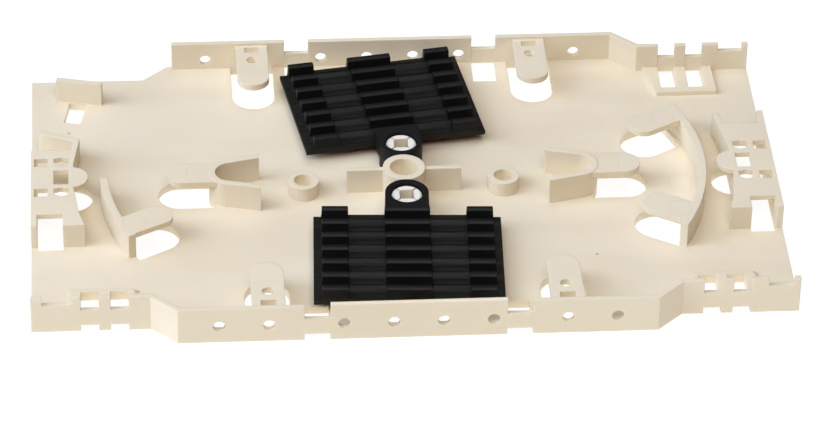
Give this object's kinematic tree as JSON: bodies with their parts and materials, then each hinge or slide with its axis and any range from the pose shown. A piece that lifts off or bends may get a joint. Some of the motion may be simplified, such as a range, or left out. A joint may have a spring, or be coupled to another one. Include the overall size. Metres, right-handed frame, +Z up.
{
  "type": "fibre splice tray",
  "caption": "Shallow moulded tray for fibre splices, with guide fins, retention tabs and turning black splice holders.",
  "frame": {"origin": "on the table under the middle of the tray", "axes": "+X to the right along the tray, +Y to the back across it, +Z up; the wall with the raised crest is at the front"},
  "size_m": [0.158, 0.096, 0.009],
  "materials": {
    "ivory_plastic": "satin moulded ivory plastic",
    "black_plastic": "matt black moulded plastic"
  },
  "bodies": {
    "tray": {"tray": "ivory_plastic"},
    "rear_holder": {"rear_splice_holder": "black_plastic"},
    "front_holder": {"front_splice_holder": "black_plastic"}
  },
  "joints": [
    {"name": "rear_holder_turn", "type": "hinge", "parent": "tray", "child": "rear_holder", "pos_m": [0, 0.0092, 0.0055], "axis": [0, 0, 1], "range_deg": [-24, 6]},
    {"name": "front_holder_turn", "type": "hinge", "parent": "tray", "child": "front_holder", "pos_m": [0, -0.0092, 0.0055], "axis": [0, 0, 1], "range_deg": [-12.35, 17.65]}
  ]
}
